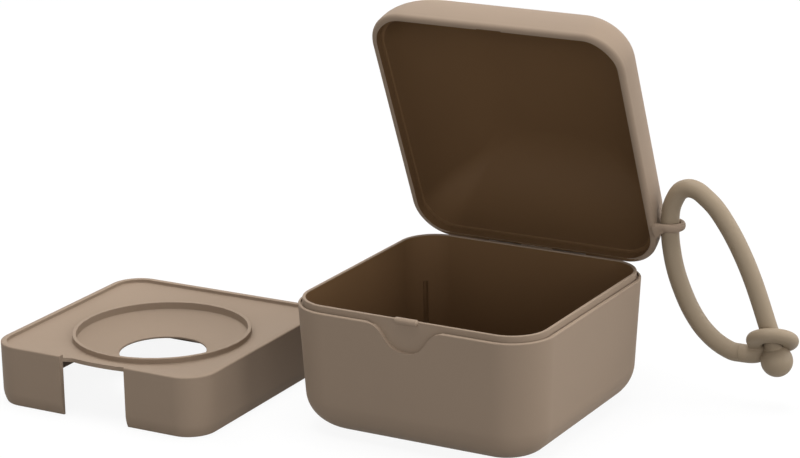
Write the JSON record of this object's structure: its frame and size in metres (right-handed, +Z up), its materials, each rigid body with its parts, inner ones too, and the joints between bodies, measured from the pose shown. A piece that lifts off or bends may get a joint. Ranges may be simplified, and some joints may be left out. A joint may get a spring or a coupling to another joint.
{
  "type": "pacifier box",
  "caption": "Square plastic box with a deep hinged lid, a loose raised insert and a cord strap closed by a ball through a ring.",
  "frame": {"origin": "centre of the base's underside, on the surface it stands on", "axes": "+Z up, +X towards the strap's side, +Y towards the hinge, with the thumb recess on the -Y side"},
  "size_m": [0.241, 0.1334, 0.1295],
  "materials": {
    "box_plastic": "fine matte texture",
    "lid_plastic": "fine matte texture",
    "pin_plastic": "smooth matte",
    "insert_plastic": "fine matte texture",
    "strap_silicone": "matte silicone"
  },
  "bodies": {
    "base": {"base_shell": "box_plastic", "hinge_pin": "pin_plastic"},
    "lid": {"lid_shell": "lid_plastic"},
    "strap": {"strap_cord": "strap_silicone", "strap_ring": "strap_silicone", "strap_ball": "strap_silicone"},
    "insert": {"insert_tray": "insert_plastic"}
  },
  "joints": [
    {"name": "lid_hinge", "type": "hinge", "parent": "base", "child": "lid", "pos_m": [0, 0.0464, 0.04075], "axis": [-1, 0, 0], "range_deg": [-67.1, 43]},
    {"name": "strap_swivel", "type": "hinge", "parent": "lid", "child": "strap", "pos_m": [0.0491, 0.0465, 0.0574], "axis": [0, 0, 1], "range_deg": [-75, 75]},
    {"name": "insert_lift", "type": "slide", "parent": "base", "child": "insert", "axis": [0, 0, 1], "range_m": [0, 0.08]}
  ]
}
